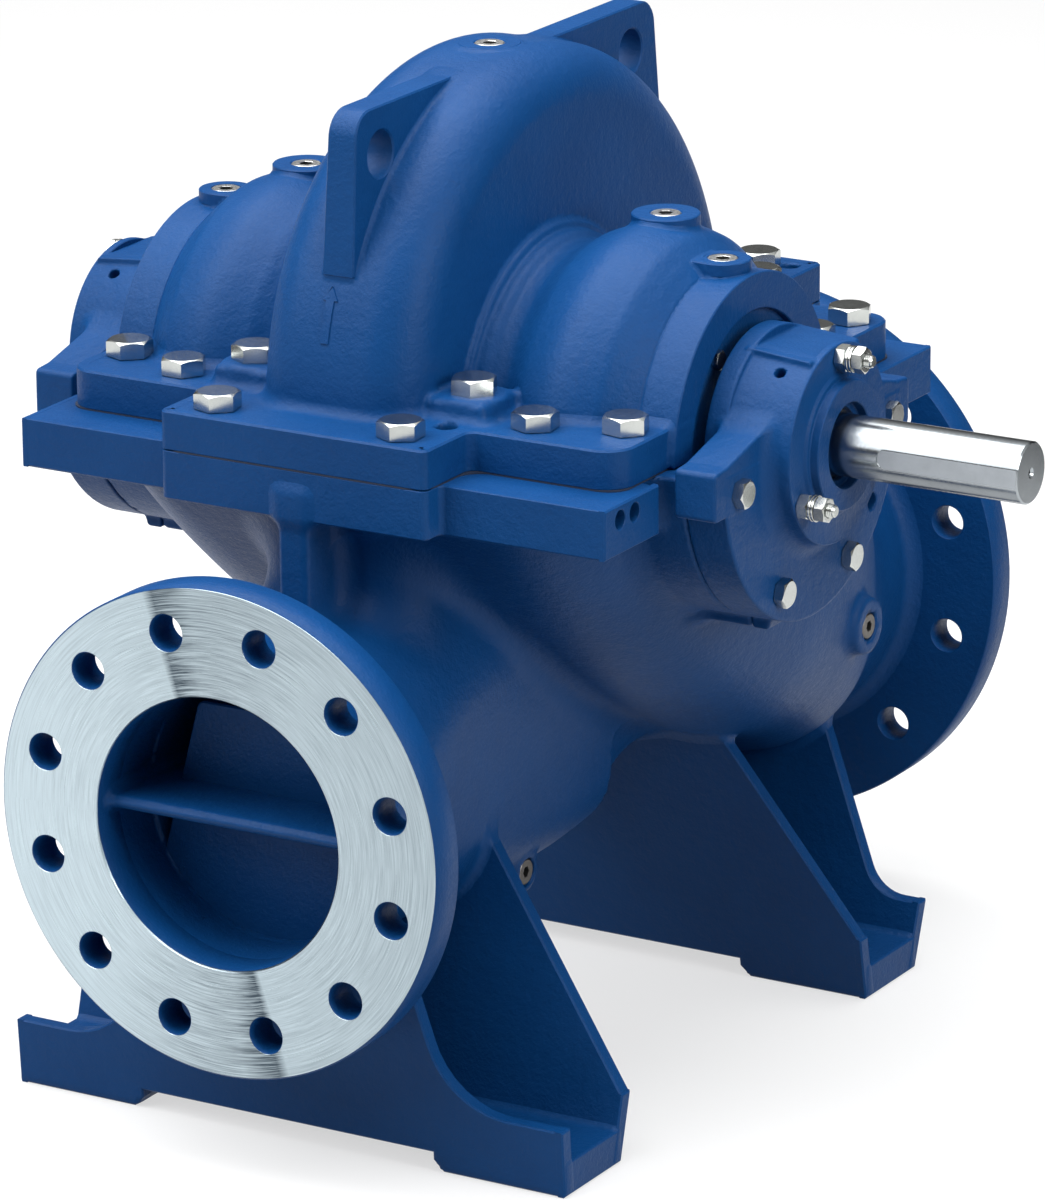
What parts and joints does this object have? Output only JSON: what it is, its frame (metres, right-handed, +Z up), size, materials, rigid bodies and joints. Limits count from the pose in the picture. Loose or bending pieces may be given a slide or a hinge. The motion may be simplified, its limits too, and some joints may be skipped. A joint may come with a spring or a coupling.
{
  "type": "horizontal split case pump",
  "caption": "Double-suction pump with an axially split cast volute casing, side nozzles with drilled flanges, cast feet, bolted bearing housings and a free keyed shaft end.",
  "frame": {"origin": "on the plane the feet stand on, under the middle of the volute and the shaft axis", "axes": "+X along the shaft to its free end, +Y to the suction flange, -Y to the discharge flange, +Z up"},
  "size_m": [0.767, 0.81, 0.746],
  "materials": {
    "casing_paint": "cast iron with a satin blue paint, machined flange faces bare",
    "gasket": "dark fibre sheet gasket",
    "plug_steel": "zinc plated steel plugs",
    "bronze": "machined cast bronze",
    "shaft_steel": "ground steel"
  },
  "bodies": {
    "casing": {"drive_end_bearing": "shaft_steel", "drive_end_bearing_cover": "casing_paint", "drive_end_bearing_housing": "casing_paint", "drive_end_drain_plug": "plug_steel", "drive_end_seal_cover": "casing_paint", "drive_end_seal_plug": "plug_steel", "drive_end_suction_plug": "plug_steel", "free_end_bearing": "shaft_steel", "free_end_bearing_cover": "casing_paint", "free_end_bearing_housing": "casing_paint", "free_end_drain_plug": "plug_steel", "free_end_seal_cover": "casing_paint", "free_end_seal_plug": "plug_steel", "free_end_suction_plug": "plug_steel", "front_gasket": "gasket", "lower_casing": "casing_paint", "rear_gasket": "gasket", "upper_casing": "casing_paint", "volute_drain_plug": "plug_steel", "volute_vent_plug": "plug_steel"},
    "rotor": {"drive_end_shaft_sleeve": "shaft_steel", "drive_end_sleeve_nut": "shaft_steel", "free_end_shaft_sleeve": "shaft_steel", "free_end_sleeve_nut": "shaft_steel", "impeller": "bronze", "shaft": "shaft_steel"}
  },
  "joints": [
    {"name": "rotor_spin", "type": "hinge", "parent": "casing", "child": "rotor", "pos_m": [0, 0, 0.495], "axis": [1, 0, 0], "continuous": true}
  ]
}
